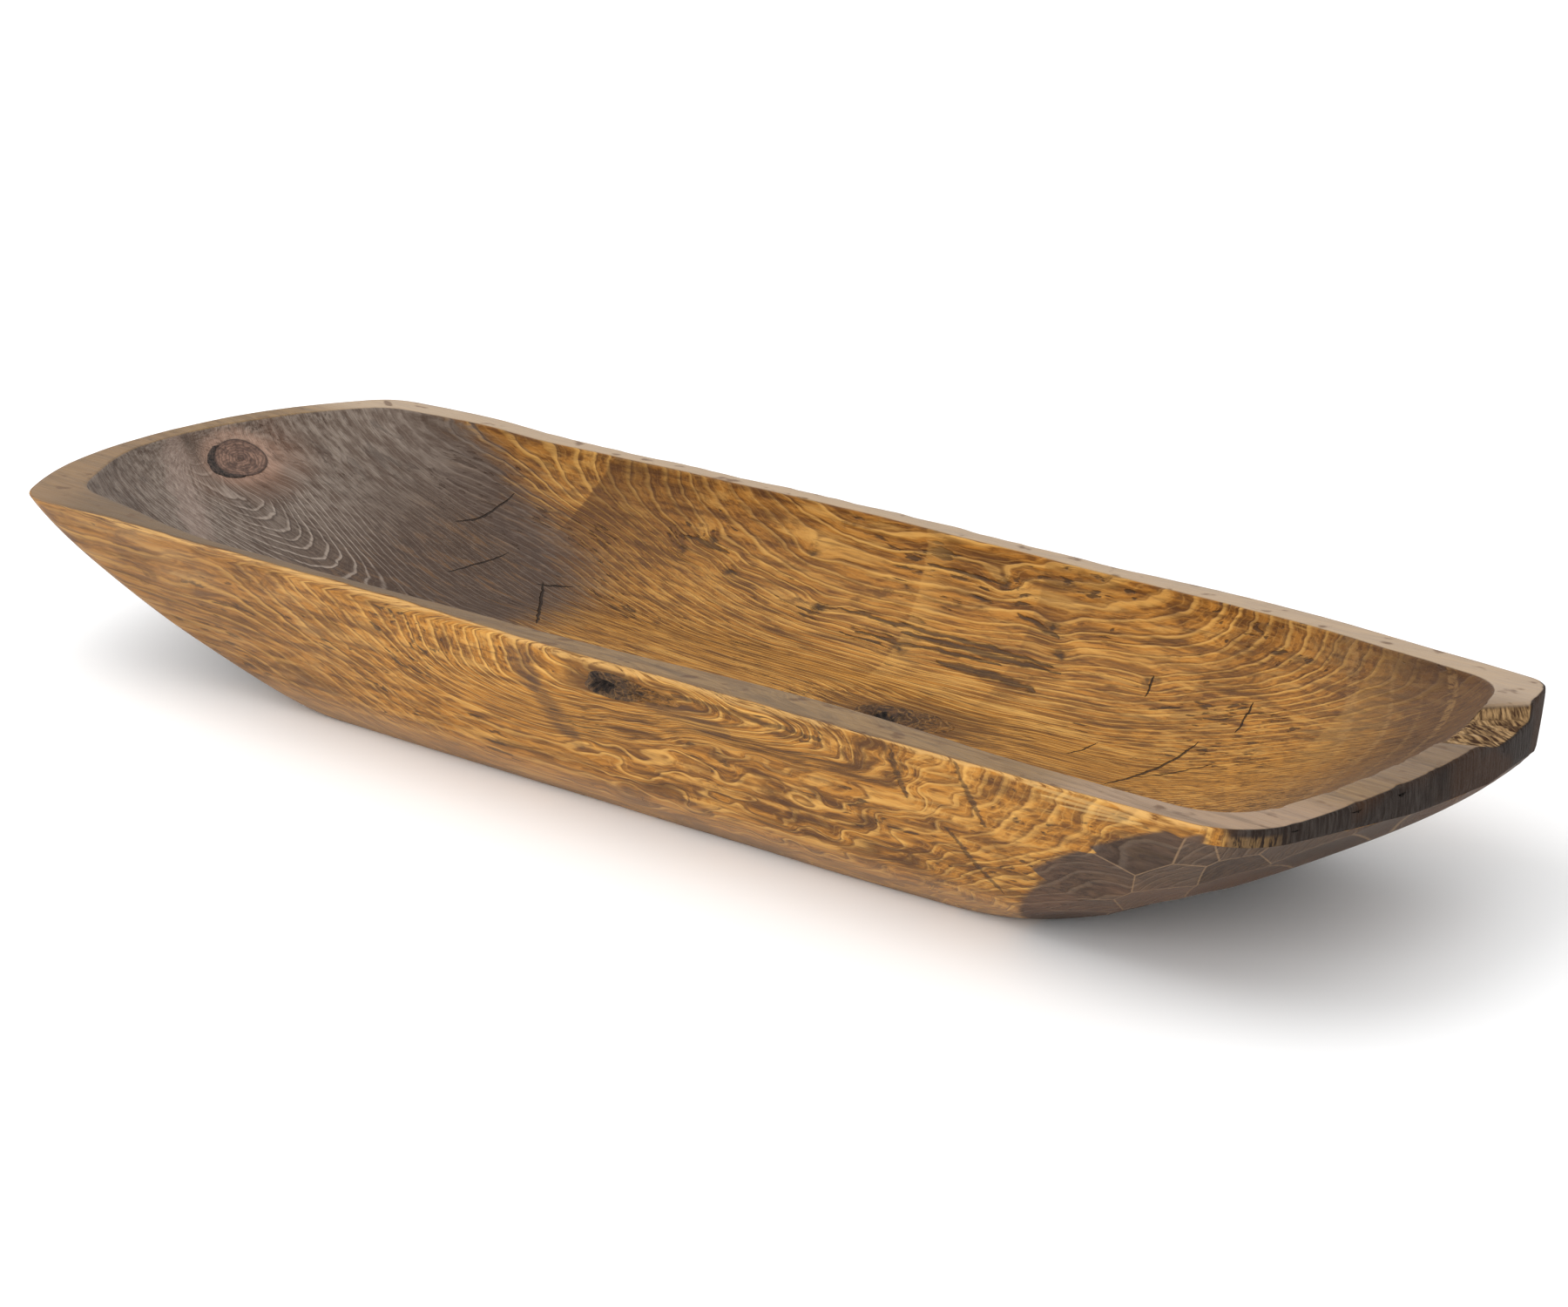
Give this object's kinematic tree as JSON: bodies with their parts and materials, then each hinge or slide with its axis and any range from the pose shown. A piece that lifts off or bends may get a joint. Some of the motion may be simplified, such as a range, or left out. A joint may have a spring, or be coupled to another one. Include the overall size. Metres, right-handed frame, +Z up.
{
  "type": "carved wooden trough bowl",
  "caption": "Long, shallow trough-shaped bowl carved from one split log, with bowed sides, sloped ends, a flat rim, a flat base and dark knots.",
  "frame": {"origin": "middle of the underside, on the surface the bowl rests on", "axes": "+X along the bowl toward its sawn end, +Z up from the base to the rim, +Y across"},
  "size_m": [0.9, 0.3121, 0.1],
  "materials": {
    "stained_wood": "satin",
    "knot_wood": "satin",
    "dark_knot_wood": "matte",
    "bark": "matte"
  },
  "bodies": {
    "root": {"bowl_body": "stained_wood", "end_knot": "knot_wood", "end_knot_bark": "bark", "floor_knot": "dark_knot_wood", "wall_knot": "dark_knot_wood"}
  },
  "joints": []
}
